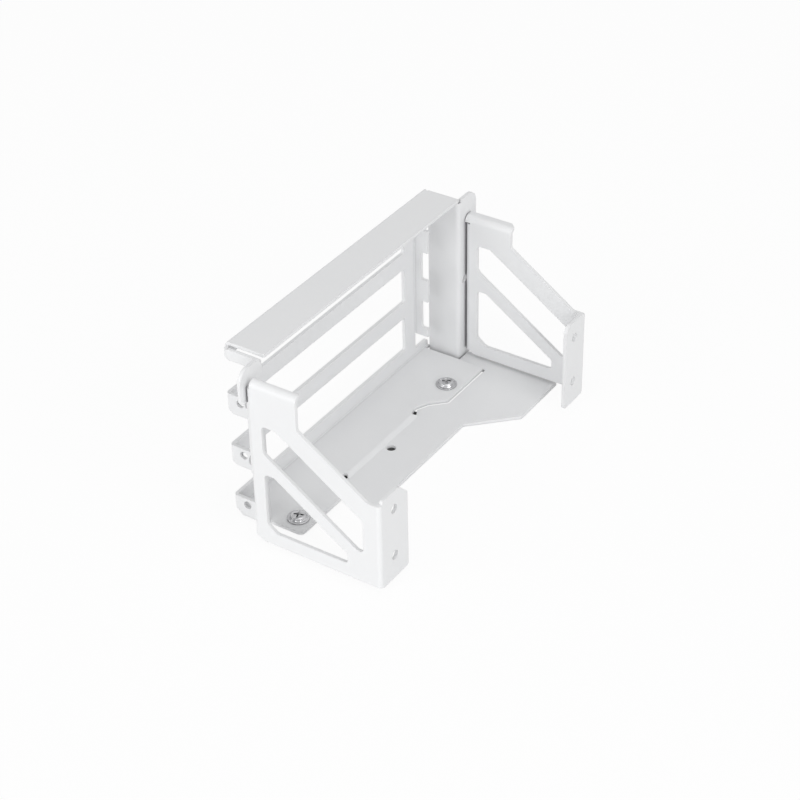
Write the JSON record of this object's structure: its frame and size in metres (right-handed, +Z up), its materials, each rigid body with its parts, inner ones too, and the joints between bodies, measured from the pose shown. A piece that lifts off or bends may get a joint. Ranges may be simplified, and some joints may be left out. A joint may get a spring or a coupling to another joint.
{
  "type": "graphics card support bracket",
  "caption": "Folded sheet-metal bracket with a slotted end frame, two truss arms and a stepped shelf, which holds a graphics card on a riser.",
  "frame": {"origin": "centre of the footprint, on the plane that the shelf's underside lies in", "axes": "+Z up, +Y along the slots from the screw tabs to the far arm, +X from the slotted panel to the arms' front flanges"},
  "size_m": [0.0644, 0.1382, 0.0676],
  "materials": {
    "powder_coat": "fine satin powder coat",
    "screw_steel": "bright plated steel",
    "nut_steel": "plated steel"
  },
  "bodies": {
    "root": {"slot_frame": "powder_coat", "near_arm": "powder_coat", "far_arm": "powder_coat", "riser_screw_near": "screw_steel", "riser_screw_far": "screw_steel", "arm_screw_near_lower": "screw_steel", "press_nut_near_lower": "nut_steel", "arm_screw_near_upper": "screw_steel", "press_nut_near_upper": "nut_steel", "arm_screw_far_lower": "screw_steel", "press_nut_far_lower": "nut_steel", "arm_screw_far_upper": "screw_steel", "press_nut_far_upper": "nut_steel"}
  },
  "joints": []
}
